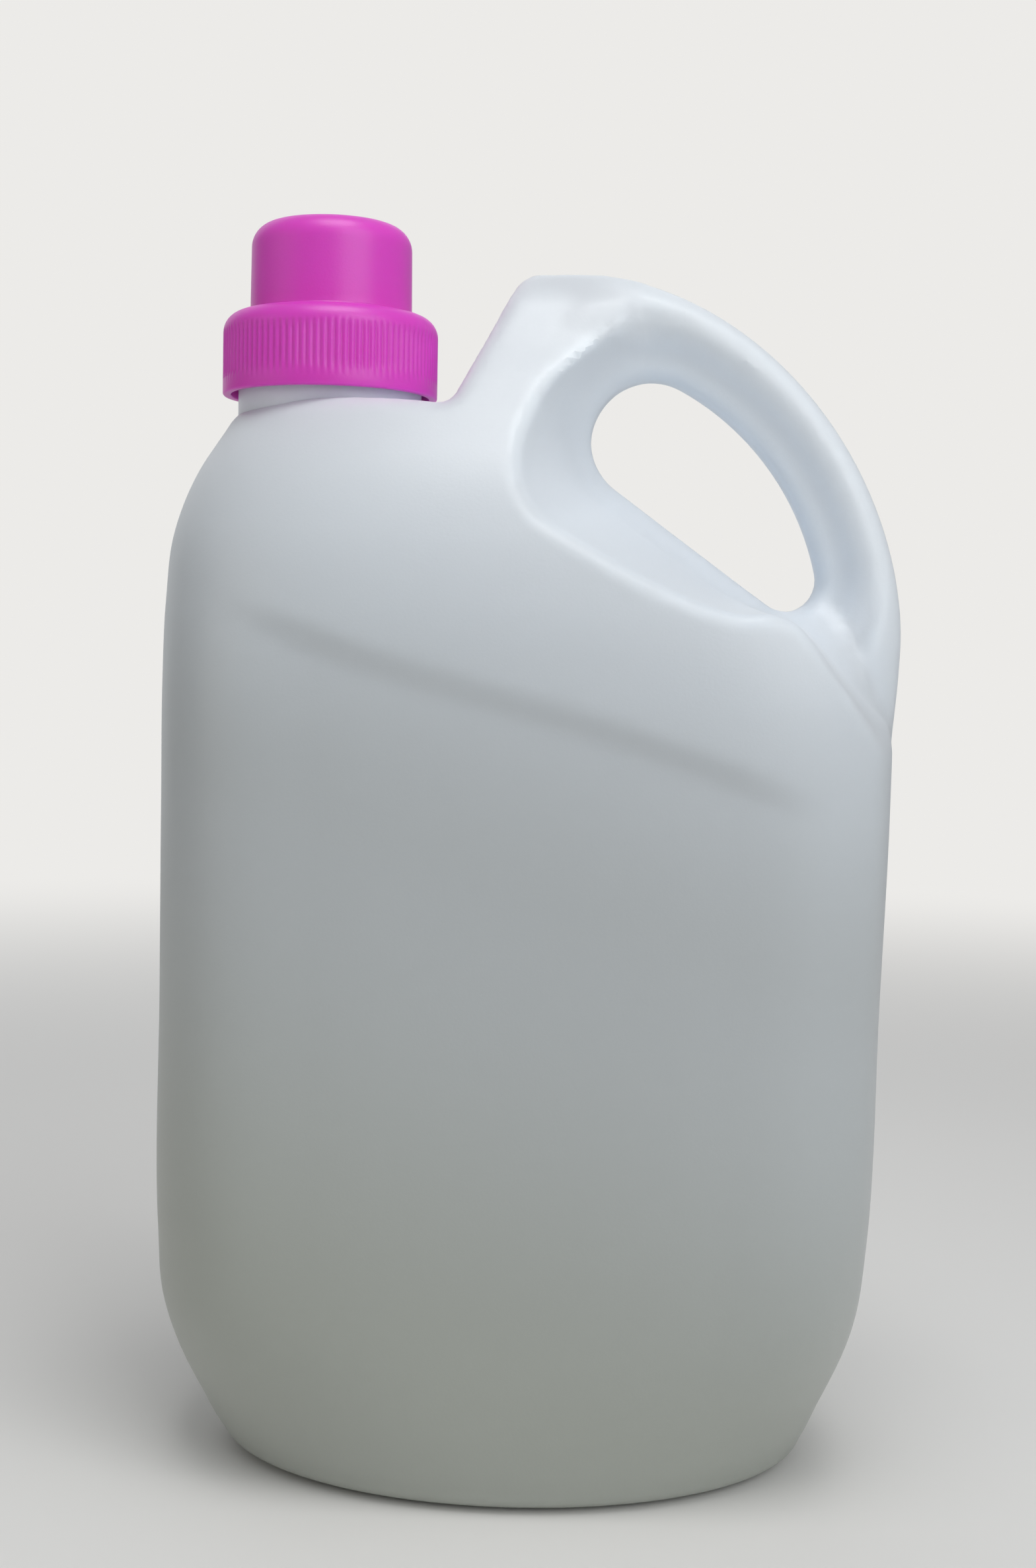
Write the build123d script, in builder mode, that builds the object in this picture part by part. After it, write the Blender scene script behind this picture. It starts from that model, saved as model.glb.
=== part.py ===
"""Plastic jug with a moulded handle and a screw-on dosing cap.

Millimetres, +Z up. The origin is the centre of the base on the surface that the
jug stands on. The handle is towards +X and the front label panel towards -Y.
"""
from math import acos, atan2, copysign, cos, degrees, hypot, pi, sin
import os

from build123d import *

# Jug body
left_reach = 94.0
right_reach = 93.8
body_depth = 115.0
shoulder_height = 264.3
shoulder_edge = 4.0
wall = 1.2
label_recess = 1.8
base_rise = 4.0
foot_width = 13.0
tub_height = 175.0

# Pillar between the neck and the finger hole
pillar_foot_x = -21.8
pillar_top_x = -3.5
pillar_corner = 10.0

# Handle and finger hole
handle_top = 298.7
handle_right = 94.2
handle_side_height = 208.0
handle_depth = 29.0
handle_edge = 9.0
handle_crown_x = 12.0
handle_root_x = 5.0
hole_upper_x = 30.0
hole_upper_z = 257.0
hole_upper_radius = 15.2
hole_lower_x = 64.3
hole_lower_z = 223.0
hole_lower_radius = 7.9
hole_bulge_radius = 69.0
recess_depth = 60.0

# Neck
neck_x = -51.5
neck_radius = 23.1
neck_wall = 2.1
neck_height = 19.0

# Pour spout pressed into the neck
spout_clearance = 0.05
spout_flange_radius = 22.6
spout_flange = 1.0
spout_wall = 1.0
spout_depth = 18.0
spout_tube_radius = 12.5
spout_lip_rise = 15.0
spout_lip_low = 7.0
drain_width = 9.0

# Seal ring between the spout's flange and the cap
seal_thickness = 1.2
seal_inner_radius = 20.4
seal_outer_radius = 22.8

# Dosing cap
cap_bore_clearance = 1.9
cap_skirt_radius = 27.05
cap_skirt_drop = 18.5
cap_ledge = 2.0
cap_shoulder_radius = 5.0
cup_root_radius = 20.35
cup_tip_radius = 20.1
cup_height = 22.9
cup_wall = 1.5
cup_corner = 6.0
cup_root_fillet = 0.8
cup_crown = 0.6
cup_rim_gap = 1.0
cup_rim_depth = 13.0
rib_count = 98
rib_depth = 0.45
rib_groove = 0.7
rib_margin = 3.1
rib_height = 11.6

# Every cut runs past what it cuts by this much
overrun = 12.0

# Body sections from the base up: share of the handle's top height, shares of the
# reach to the left and to the right, share of the half depth, then how square the
# section is across its width and across its depth
SECTION_SHARES = (
    (0.000, 0.783, 0.760, 0.775, 2.1, 2.0),
    (0.007, 0.828, 0.799, 0.830, 2.1, 2.0),
    (0.022, 0.859, 0.828, 0.868, 2.2, 2.0),
    (0.050, 0.902, 0.865, 0.912, 2.4, 2.0),
    (0.094, 0.956, 0.912, 0.958, 2.9, 2.1),
    (0.140, 0.990, 0.947, 0.988, 3.8, 2.2),
    (0.192, 1.000, 0.963, 1.000, 4.6, 2.2),
    (0.400, 1.000, 0.982, 1.000, 5.0, 2.2),
    (0.560, 0.998, 0.996, 1.000, 5.0, 2.2),
    (0.655, 0.995, 1.000, 1.000, 4.6, 2.2),
    (0.720, 0.989, 0.990, 0.976, 4.0, 2.2),
    (0.777, 0.970, 0.959, 0.915, 3.4, 2.2),
    (0.828, 0.910, 0.898, 0.800, 2.9, 2.1),
    (0.866, 0.834, 0.826, 0.660, 2.6, 2.1),
    (0.900, 0.770, 0.755, 0.520, 2.4, 2.0),
    (0.940, 0.580, 0.653, 0.350, 2.3, 2.0),
    (0.985, 0.330, 0.551, 0.205, 2.2, 2.0),
)
SECTION_POINTS = 32

# Outline points as shares of the handle's reach and of its top height. The finger
# recess has one outline on the middle plane and a wider one in front of the body.
MIDDLE_PILLAR_SHARES = ((0.336, 1.010), (0.285, 0.962), (0.173, 0.898), (0.144, 0.850))
MIDDLE_CORNER_SHARES = ((0.154, 0.826), (0.234, 0.8145))
MIDDLE_BULGE_SHARES = ((0.626, 0.720), (0.786, 0.702), (0.903, 0.666), (1.061, 0.600))
FRONT_PILLAR_SHARES = ((0.255, 1.010), (0.142, 0.962), (-0.067, 0.898), (-0.084, 0.840))
FRONT_CORNER_SHARES = ((-0.072, 0.790), (0.030, 0.772))
FRONT_BULGE_SHARES = ((0.510, 0.702), (0.668, 0.700), (0.796, 0.645), (0.980, 0.540))
STEP_SHARES = ((-0.750, 0.700), (-0.300, 0.652), (0.184, 0.610), (0.750, 0.550))

# Outer bend of the handle, as shares of its run to the right and of its drop
HANDLE_BEND_SHARES = ((0.435, 0.1235), (0.812, 0.454))

# Levels and radii that follow from the sizes above
handle_level = shoulder_height + wall
neck_top = shoulder_height + neck_height
seal_bottom = neck_top + spout_flange
ledge_bottom = seal_bottom + seal_thickness
ledge_top = ledge_bottom + cap_ledge
cap_top = ledge_top + cup_height
cap_bottom = ledge_bottom - cap_skirt_drop
spout_radius = neck_radius - neck_wall - spout_clearance
cup_rim_radius = spout_radius - spout_wall - cup_rim_gap
cup_rim_bottom = ledge_bottom - cup_rim_depth
cap_bore_radius = neck_radius + cap_bore_clearance
spout_floor = seal_bottom - spout_depth
above_cap = cap_top + overrun
beside_cap = cap_skirt_radius + overrun
neck_axis = Axis((neck_x, 0, 0), (0, 0, 1))
neck_section = Plane(origin=(neck_x, 0, 0), x_dir=(1, 0, 0), z_dir=(0, -1, 0))
neck_side = Plane.YZ.offset(neck_x)


def section_curve(left, right, half_depth, across_width, across_depth):
    """Points of one squared oval, even in angle."""
    middle = (right - left) / 2
    reach = (right + left) / 2
    points = []
    for step in range(SECTION_POINTS):
        angle = 2 * pi * step / SECTION_POINTS
        along = copysign(abs(cos(angle)) ** (2 / across_width), cos(angle))
        out = copysign(abs(sin(angle)) ** (2 / across_depth), sin(angle))
        points.append((middle + reach * along, half_depth * out))
    return points


def placed(shares, shift):
    """Outline points in millimetres, moved down and to the left by a shift."""
    return [(across * handle_right - shift, up * handle_top - shift) for across, up in shares]


def body_block(inset):
    """The body and the pillar as one smooth form, before anything is cut."""
    with BuildPart() as block:
        for height, left, right, depth, across_width, across_depth in SECTION_SHARES:
            level = inset + height * (handle_top - 2 * inset)
            with BuildSketch(Plane.XY.offset(level)):
                with BuildLine():
                    Spline(
                        *section_curve(
                            left * left_reach - inset,
                            right * right_reach - inset,
                            depth * body_depth / 2 - inset,
                            across_width,
                            across_depth,
                        ),
                        periodic=True,
                    )
                make_face()
        loft()
    return block.part


def recess_outline(pillar, corner, bulge, shift):
    """Edges of one recess outline, from the pillar's top down and to the right."""
    down = placed(pillar, shift)
    turn = placed(corner, shift)
    across = placed(bulge, shift)
    ramp = (across[0][0] - turn[1][0], across[0][1] - turn[1][1])
    far = handle_right + 2 * overrun
    Spline(*down, tangents=[(-1, -2), (0, -1)])
    Spline(down[-1], *turn, tangents=[(0, -1), ramp])
    Line(turn[-1], across[0])
    Spline(*across, tangents=[ramp, (1, -2)])
    Polyline(across[-1], (far, across[-1][1]), (far, down[0][1]), down[0])


def recess_cutter(inset):
    """What the front half of the finger recess takes away from the body."""
    with BuildPart() as cutter:
        with BuildSketch(Plane.XZ):
            with BuildLine():
                recess_outline(
                    MIDDLE_PILLAR_SHARES, MIDDLE_CORNER_SHARES, MIDDLE_BULGE_SHARES, inset
                )
            make_face()
        with BuildSketch(Plane.XZ.offset(recess_depth)):
            with BuildLine():
                recess_outline(
                    FRONT_PILLAR_SHARES, FRONT_CORNER_SHARES, FRONT_BULGE_SHARES, inset
                )
            make_face()
        loft(ruled=True)
    return cutter.part


def hole_outline(grow):
    """The finger hole: two end arcs, a straight lower side and a long upper arc."""
    upper = (hole_upper_x, hole_upper_z)
    lower = (hole_lower_x, hole_lower_z)
    upper_radius = hole_upper_radius + grow
    lower_radius = hole_lower_radius + grow
    bulge_radius = hole_bulge_radius + grow
    run = hypot(lower[0] - upper[0], lower[1] - upper[1])
    heading = atan2(lower[1] - upper[1], lower[0] - upper[0])
    straight_side = heading - acos((upper_radius - lower_radius) / run)

    # The long arc's centre lies at known distances from both end centres
    to_upper = bulge_radius - upper_radius
    to_lower = bulge_radius - lower_radius
    swing = acos((run**2 + to_upper**2 - to_lower**2) / (2 * run * to_upper))
    centre = (
        upper[0] + to_upper * cos(heading - swing),
        upper[1] + to_upper * sin(heading - swing),
    )
    upper_side = atan2(upper[1] - centre[1], upper[0] - centre[0])
    lower_side = atan2(lower[1] - centre[1], lower[0] - centre[0])
    upper_turn = straight_side + 2 * pi - upper_side
    CenterArc(upper, upper_radius, degrees(upper_side), degrees(upper_turn))
    CenterArc(centre, bulge_radius, degrees(lower_side), degrees(upper_side - lower_side))
    CenterArc(lower, lower_radius, degrees(straight_side), degrees(lower_side - straight_side))
    Line(
        (
            upper[0] + upper_radius * cos(straight_side),
            upper[1] + upper_radius * sin(straight_side),
        ),
        (
            lower[0] + lower_radius * cos(straight_side),
            lower[1] + lower_radius * sin(straight_side),
        ),
    )


def handle_plate(inset):
    """The handle and the web round the finger hole, rounded to an oval section."""
    top = handle_top - inset
    right = handle_right - inset
    rise = handle_top - shoulder_height
    run = pillar_top_x - pillar_foot_x
    lean = inset * (hypot(run, rise) - run) / rise
    tail = handle_side_height - handle_depth
    crown = (handle_crown_x, top)
    side = (right, handle_side_height)
    bends = [
        (
            handle_crown_x + across * (right - handle_crown_x),
            top - down * (top - handle_side_height),
        )
        for across, down in HANDLE_BEND_SHARES
    ]
    with BuildPart() as plate:
        with BuildSketch(Plane.XZ) as outline:
            with BuildLine():
                slope = Line(
                    (pillar_foot_x + lean, shoulder_height - inset), (pillar_top_x + lean, top)
                )
                Line(slope @ 1, crown)
                Spline(crown, *bends, side, tangents=[(1, 0), (0, -1)])
                Polyline(
                    side,
                    (right_reach - wall - inset, tail),
                    (hole_lower_x - handle_depth, tail),
                    (pillar_foot_x + lean, shoulder_height - handle_depth),
                    slope @ 0,
                )
            make_face()
            corner = outline.vertices().sort_by(Axis.Y)[-2:].sort_by(Axis.X)[0]
            fillet(corner, radius=pillar_corner - inset)
        extrude(amount=handle_depth / 2 - inset, both=True)
        with BuildSketch(Plane.XZ):
            with BuildLine():
                hole_outline(inset)
            make_face()
        extrude(amount=handle_depth, both=True, mode=Mode.SUBTRACT)
        faces = plate.faces().filter_by(Axis.Y)
        fillet(faces.edges(), radius=handle_edge - inset)
    return plate.part


def jug_form(inset):
    """The jug without its neck: its outer form, or its inner form one wall in."""
    cutter = recess_cutter(inset)
    plate = handle_plate(inset)
    shoulder = shoulder_height - inset
    slope_run = pillar_top_x - pillar_foot_x
    slope_rise = handle_top - shoulder_height
    foot_x = pillar_foot_x + inset
    above = handle_top + overrun
    beyond = -left_reach - overrun
    base_left, base_right, base_depth = SECTION_SHARES[0][1:4]
    hollow_reach = (base_left * left_reach + base_right * right_reach) / 2 - foot_width
    hollow_depth = base_depth * body_depth / 2 - foot_width
    with BuildPart() as form:
        add(body_block(inset))

        # The shoulder round the neck is flat and the pillar slopes up from it
        with BuildSketch(Plane.XZ):
            with BuildLine():
                Polyline(
                    (beyond, shoulder),
                    (foot_x, shoulder),
                    (foot_x + slope_run * (above - shoulder) / slope_rise, above),
                    (beyond, above),
                    close=True,
                )
            make_face()
        extrude(amount=body_depth, both=True, mode=Mode.SUBTRACT)
        if not inset:
            flat = form.faces().filter_by(Axis.Z).sort_by(Axis.Z)[-2]
            slope = form.faces().filter_by(GeomType.PLANE).sort_by(Axis.Z)[-2]
            sides = slope.edges().filter_by(GeomType.LINE, reverse=True)
            fillet(flat.edges() + sides, radius=shoulder_edge)
        add(cutter, mode=Mode.SUBTRACT)
        add(mirror(cutter, about=Plane.XZ, mode=Mode.PRIVATE), mode=Mode.SUBTRACT)
        add(plate)

        # Flat label panels, front and back, end at a step that fades to its sides
        panel = Plane.XZ.offset(body_depth / 2 - label_recess - inset)
        with BuildSketch(panel):
            with BuildLine():
                step = Spline(*placed(STEP_SHARES, -inset))
                Polyline(step @ 1, ((step @ 1).X, 0), ((step @ 0).X, 0), step @ 0)
            make_face()
        cut = extrude(amount=overrun, mode=Mode.PRIVATE)
        add(cut, mode=Mode.SUBTRACT)
        add(mirror(cut, about=Plane.XZ, mode=Mode.PRIVATE), mode=Mode.SUBTRACT)

        # The middle of the base is pushed up, which leaves a foot all round
        with BuildSketch(Plane.XY):
            Ellipse(hollow_reach + inset, hollow_depth + inset)
        with BuildSketch(Plane.XY.offset(base_rise + inset)):
            Ellipse(hollow_reach + inset - 2 * base_rise, hollow_depth + inset - 2 * base_rise)
        loft(mode=Mode.SUBTRACT)
    return form.part


def shell_part(low, high, left, right):
    """The blown shell between two levels and two places across."""
    with BuildPart() as piece:
        add(shell.part)
        with BuildSketch(Plane.XZ):
            with BuildLine():
                Polyline((left, low), (right, low), (right, high), (left, high), close=True)
            make_face()
        extrude(amount=body_depth, both=True, mode=Mode.INTERSECT)
    return piece.part


def round_part(whole, low, high, inner, outer):
    """A turned piece between two levels and two radii round the neck's axis."""
    with BuildPart() as piece:
        add(whole)
        with BuildSketch(neck_section):
            with BuildLine():
                Polyline((inner, low), (outer, low), (outer, high), (inner, high), close=True)
            make_face()
        revolve(axis=neck_axis, mode=Mode.INTERSECT)
    return piece.part


def in_halves():
    """Keeps the open block's piece as a front and a back half, which meet face to face."""
    split(bisect_by=Plane.XZ, keep=Keep.BOTH)


def in_quarters():
    """Keeps the open block's piece as four quarters round the neck's axis."""
    split(bisect_by=Plane.XZ, keep=Keep.BOTH)
    split(bisect_by=neck_side, keep=Keep.BOTH)


# The jug is one blown shell: the outer form less the inner form, open under the neck
outer_form = jug_form(0)
inner_form = jug_form(wall)
with BuildPart() as shell:
    add(outer_form)
    add(inner_form, mode=Mode.SUBTRACT)
    with BuildSketch(Plane.XY.offset(neck_top)):
        with Locations((neck_x, 0)):
            Circle(neck_radius - neck_wall)
    extrude(amount=-neck_height - overrun, mode=Mode.SUBTRACT)

# The shell is kept as a tub, a shoulder, the handle's root and the handle, each in a front
# and a back half as its mould has them, which meet at flat planes
far_left = -left_reach - overrun
far_right = handle_right + overrun
above_handle = handle_top + overrun
with BuildPart() as bottle:
    add(shell_part(-overrun, tub_height, far_left, far_right))
    in_halves()
with BuildPart() as shoulder:
    add(shell_part(tub_height, handle_level, far_left, handle_root_x))
    in_halves()
with BuildPart() as handle_root:
    add(shell_part(tub_height, handle_level, handle_root_x, far_right))
    in_halves()
with BuildPart() as handle:
    add(shell_part(handle_level, above_handle, far_left, far_right))
    in_halves()

# The neck stands on the shoulder
with BuildPart() as neck:
    with BuildSketch(Plane.XY.offset(shoulder_height)):
        with Locations((neck_x, 0)):
            Circle(neck_radius)
            Circle(neck_radius - neck_wall, mode=Mode.SUBTRACT)
    extrude(amount=neck_height)
    in_quarters()

# Spout with a slanted lip, in a gutter that drains back through a slot
with BuildPart() as spout:
    with BuildSketch(neck_section):
        with BuildLine():
            Polyline(
                (spout_radius - spout_wall, seal_bottom),
                (spout_flange_radius, seal_bottom),
                (spout_flange_radius, neck_top),
                (spout_radius, neck_top),
                (spout_radius, spout_floor),
                (spout_tube_radius - spout_wall, spout_floor),
                (spout_tube_radius - spout_wall, spout_floor + spout_lip_rise),
                (spout_tube_radius, spout_floor + spout_lip_rise),
                (spout_tube_radius, spout_floor + spout_wall),
                (spout_radius - spout_wall, spout_floor + spout_wall),
                close=True,
            )
        make_face()
    revolve(axis=neck_axis)
    with BuildSketch(neck_section):
        with BuildLine():
            Polyline(
                (-spout_tube_radius, spout_floor + spout_lip_rise),
                (spout_tube_radius + spout_wall, spout_floor + spout_lip_rise),
                (spout_tube_radius + spout_wall, spout_floor + spout_lip_low),
                close=True,
            )
        make_face()
    extrude(amount=spout_tube_radius, both=True, mode=Mode.SUBTRACT)
    with BuildSketch(Plane.XY.offset(spout_floor)):
        with Locations((neck_x + spout_tube_radius, 0)):
            Rectangle(3 * spout_wall, drain_width)
    extrude(amount=spout_lip_rise, mode=Mode.SUBTRACT)

# The spout's collar fits the neck, and the gutter and lip lie inside it
gutter_radius = spout_radius - spout_wall
with BuildPart() as pour_spout:
    add(round_part(spout.part, 0, above_cap, 0, gutter_radius))
    in_quarters()
with BuildPart() as spout_collar:
    add(round_part(spout.part, 0, above_cap, gutter_radius, neck_radius))
    in_quarters()

# Soft ring that the cap presses on the spout's flange
with BuildPart() as seal_ring:
    with BuildSketch(Plane.XY.offset(seal_bottom)):
        with Locations((neck_x, 0)):
            Circle(seal_outer_radius)
            Circle(seal_inner_radius, mode=Mode.SUBTRACT)
    extrude(amount=seal_thickness)

# Dosing cap: a ribbed skirt and a cup that is closed at the top, in one piece
with BuildPart() as cap:
    with BuildSketch(neck_section):
        with BuildLine():
            Polyline(
                (cup_rim_radius - cup_wall, cup_rim_bottom),
                (cup_rim_radius, cup_rim_bottom),
                (cup_rim_radius, ledge_bottom),
                (cap_bore_radius, ledge_bottom),
                (cap_bore_radius, cap_bottom),
                (cap_skirt_radius, cap_bottom),
            )
            FilletPolyline(
                (cap_skirt_radius, cap_bottom),
                (cap_skirt_radius, ledge_top),
                (cup_root_radius, ledge_top),
                (cup_tip_radius, cap_top - cup_crown),
                (0, cap_top),
                radius=(cap_shoulder_radius, cup_root_fillet, cup_corner),
            )
            Line((0, cap_top), (0, cap_top - cup_wall))
            FilletPolyline(
                (0, cap_top - cup_wall),
                (cup_tip_radius - cup_wall, cap_top - cup_crown - cup_wall),
                (cup_rim_radius - cup_wall, ledge_bottom),
                (cup_rim_radius - cup_wall, cup_rim_bottom),
                radius=(cup_corner - cup_wall, cup_root_fillet),
            )
        make_face()
    revolve(axis=neck_axis)
    with BuildSketch(Plane.XY.offset(cap_bottom + rib_margin)):
        with Locations((neck_x, 0)):
            with PolarLocations(cap_skirt_radius, rib_count):
                Rectangle(2 * rib_depth, rib_groove)
    extrude(amount=rib_height, mode=Mode.SUBTRACT)

# The cup and its ledge, then what hangs below the ledge: the skirt and the cup's rim
with BuildPart() as dosing_cap:
    add(round_part(cap.part, ledge_bottom, above_cap, 0, beside_cap))
    in_quarters()
with BuildPart() as cap_skirt:
    add(round_part(cap.part, 0, ledge_bottom, neck_radius, beside_cap))
    in_quarters()
with BuildPart() as cup_rim:
    add(round_part(cap.part, 0, ledge_bottom, 0, neck_radius))
    in_quarters()

os.makedirs("parts", exist_ok=True)
bottle.part.label = "bottle"
shoulder.part.label = "shoulder"
handle_root.part.label = "handle_root"
handle.part.label = "handle"
neck.part.label = "neck"
pour_spout.part.label = "pour_spout"
spout_collar.part.label = "spout_collar"
seal_ring.part.label = "seal_ring"
dosing_cap.part.label = "dosing_cap"
cap_skirt.part.label = "cap_skirt"
cup_rim.part.label = "cup_rim"
export_step(bottle.part, "parts/bottle.step")
export_step(shoulder.part, "parts/shoulder.step")
export_step(handle_root.part, "parts/handle_root.step")
export_step(handle.part, "parts/handle.step")
export_step(neck.part, "parts/neck.step")
export_step(pour_spout.part, "parts/pour_spout.step")
export_step(spout_collar.part, "parts/spout_collar.step")
export_step(seal_ring.part, "parts/seal_ring.step")
export_step(dosing_cap.part, "parts/dosing_cap.step")
export_step(cap_skirt.part, "parts/cap_skirt.step")
export_step(cup_rim.part, "parts/cup_rim.step")
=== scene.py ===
"""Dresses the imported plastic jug: a natural polyethylene bottle with a pink dosing cap.

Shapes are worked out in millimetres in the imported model's own frame, with +Z up, the handle
towards +X and the front towards -Y. They become metres when a mesh is made of them.
"""
import logging
from collections.abc import Callable
from dataclasses import dataclass, field
from enum import Enum

import bpy
import numpy as np
import numpy.typing as npt
from mathutils import Matrix, Vector


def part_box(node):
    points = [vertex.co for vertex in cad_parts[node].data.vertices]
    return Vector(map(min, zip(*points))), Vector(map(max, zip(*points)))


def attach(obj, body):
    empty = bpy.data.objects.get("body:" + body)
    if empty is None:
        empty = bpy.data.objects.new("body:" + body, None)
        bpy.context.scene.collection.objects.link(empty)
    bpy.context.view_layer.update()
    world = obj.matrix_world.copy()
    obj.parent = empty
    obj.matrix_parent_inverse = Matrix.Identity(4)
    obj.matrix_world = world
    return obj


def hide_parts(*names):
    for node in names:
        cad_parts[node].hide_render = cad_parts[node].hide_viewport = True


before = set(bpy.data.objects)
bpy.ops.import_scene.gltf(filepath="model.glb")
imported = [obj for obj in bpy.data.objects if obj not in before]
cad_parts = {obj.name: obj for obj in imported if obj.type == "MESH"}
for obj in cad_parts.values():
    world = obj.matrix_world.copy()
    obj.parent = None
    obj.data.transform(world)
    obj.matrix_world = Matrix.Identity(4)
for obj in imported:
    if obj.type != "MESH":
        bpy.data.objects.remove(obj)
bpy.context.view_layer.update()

FloatArray = npt.NDArray[np.float64]
IntArray = npt.NDArray[np.int64]
Form = Callable[[FloatArray, FloatArray, FloatArray], FloatArray]

MM = 0.001
TINY = 1e-9
NECK_X = -51.5
SHARP_ANGLE = 0.6
ARC_STEP = 0.8
STEP_SLOPE = 1.5
FIRST_PULLS = 3
EVENING_ROUNDS = 3
LATER_PULLS = 2
SHELL_NODES = ("bottle", "shoulder", "handle_root", "handle", "neck")
CAP_NODES = ("dosing_cap", "cap_skirt", "cup_rim")
SPOUT_NODES = ("pour_spout", "spout_collar")

log = logging.getLogger("jug")


class Body(Enum):
    """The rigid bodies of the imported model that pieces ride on."""

    JUG = "jug"
    CAP = "cap"


class Cut(Enum):
    """How a second solid acts on a first one."""

    JOIN = "UNION"
    REMOVE = "DIFFERENCE"


def node_corners(*nodes: str) -> tuple[FloatArray, FloatArray]:
    """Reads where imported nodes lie.

    Args:
        nodes: Names of the nodes.

    Returns:
        Their lowest and their highest corner together, in millimetres.
    """
    corners = np.array([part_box(node) for node in nodes]) / MM
    return corners[:, 0].min(axis=0), corners[:, 1].max(axis=0)


def smooth_step(share: FloatArray) -> FloatArray:
    """Runs from 0 to 1 with level ends: three squares less two cubes of the clipped share.

    It is steepest in the middle, where it rises by STEP_SLOPE for each share.
    """
    held = np.clip(share, 0.0, 1.0)
    return held * held * (3.0 - 2.0 * held)


def round_max(first: FloatArray, second: FloatArray, radius: FloatArray | float) -> FloatArray:
    """Distance to what two forms share, with the edge between them rounded.

    Within a radius of both surfaces it is the length of the two distances, each measured
    from one radius inside, less that radius. Elsewhere it is the larger distance.

    Args:
        first: Distances to the first form, negative inside.
        second: Distances to the second form, negative inside.
        radius: Radius of the rounded edge.

    Returns:
        Distances to the shared form, negative inside.
    """
    corner = np.hypot(np.maximum(first + radius, 0.0), np.maximum(second + radius, 0.0))
    return np.minimum(-radius, np.maximum(first, second)) + corner


def round_min(first: FloatArray, second: FloatArray, radius: FloatArray | float) -> FloatArray:
    """Distance to two forms joined with a fillet: the rounded overlap of their outsides."""
    return -round_max(-first, -second, radius)


@dataclass
class SmoothTable:
    """A smooth curve through a few rows.

    Between two rows it is the cubic that has the rows' heights and, at each row, the mean
    slope of its two neighbours. Beyond the ends it goes on straight.
    """

    knots: tuple[float, ...]
    values: tuple[float, ...]
    samples: int = 1200
    reach: float = 0.25
    fine_knots: FloatArray = field(init=False)
    fine_values: FloatArray = field(init=False)

    def __post_init__(self) -> None:
        """Fills the fine table that the curve is read from."""
        knots = np.array(self.knots)
        values = np.array(self.values)
        gaps = np.diff(knots)
        slopes = np.diff(values) / gaps
        inner = (slopes[:-1] * gaps[1:] + slopes[1:] * gaps[:-1]) / (gaps[:-1] + gaps[1:])
        tangents = np.concatenate((slopes[:1], inner, slopes[-1:]))
        margin = self.reach * (knots[-1] - knots[0])
        at = np.linspace(knots[0] - margin, knots[-1] + margin, self.samples)
        row = np.clip(np.searchsorted(knots, at) - 1, 0, len(knots) - 2)
        share = np.clip((at - knots[row]) / gaps[row], 0.0, 1.0)
        rise = smooth_step(share)
        bend = share * (1.0 - share) ** 2 * tangents[row]
        bend -= share**2 * (1.0 - share) * tangents[row + 1]
        curve = values[row] * (1.0 - rise) + values[row + 1] * rise + gaps[row] * bend
        curve += np.minimum(at - knots[0], 0.0) * tangents[0]
        curve += np.maximum(at - knots[-1], 0.0) * tangents[-1]
        self.fine_knots = at
        self.fine_values = curve

    def read(self, at: FloatArray) -> FloatArray:
        """Reads the curve at the given places."""
        return np.interp(at, self.fine_knots, self.fine_values)


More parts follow.
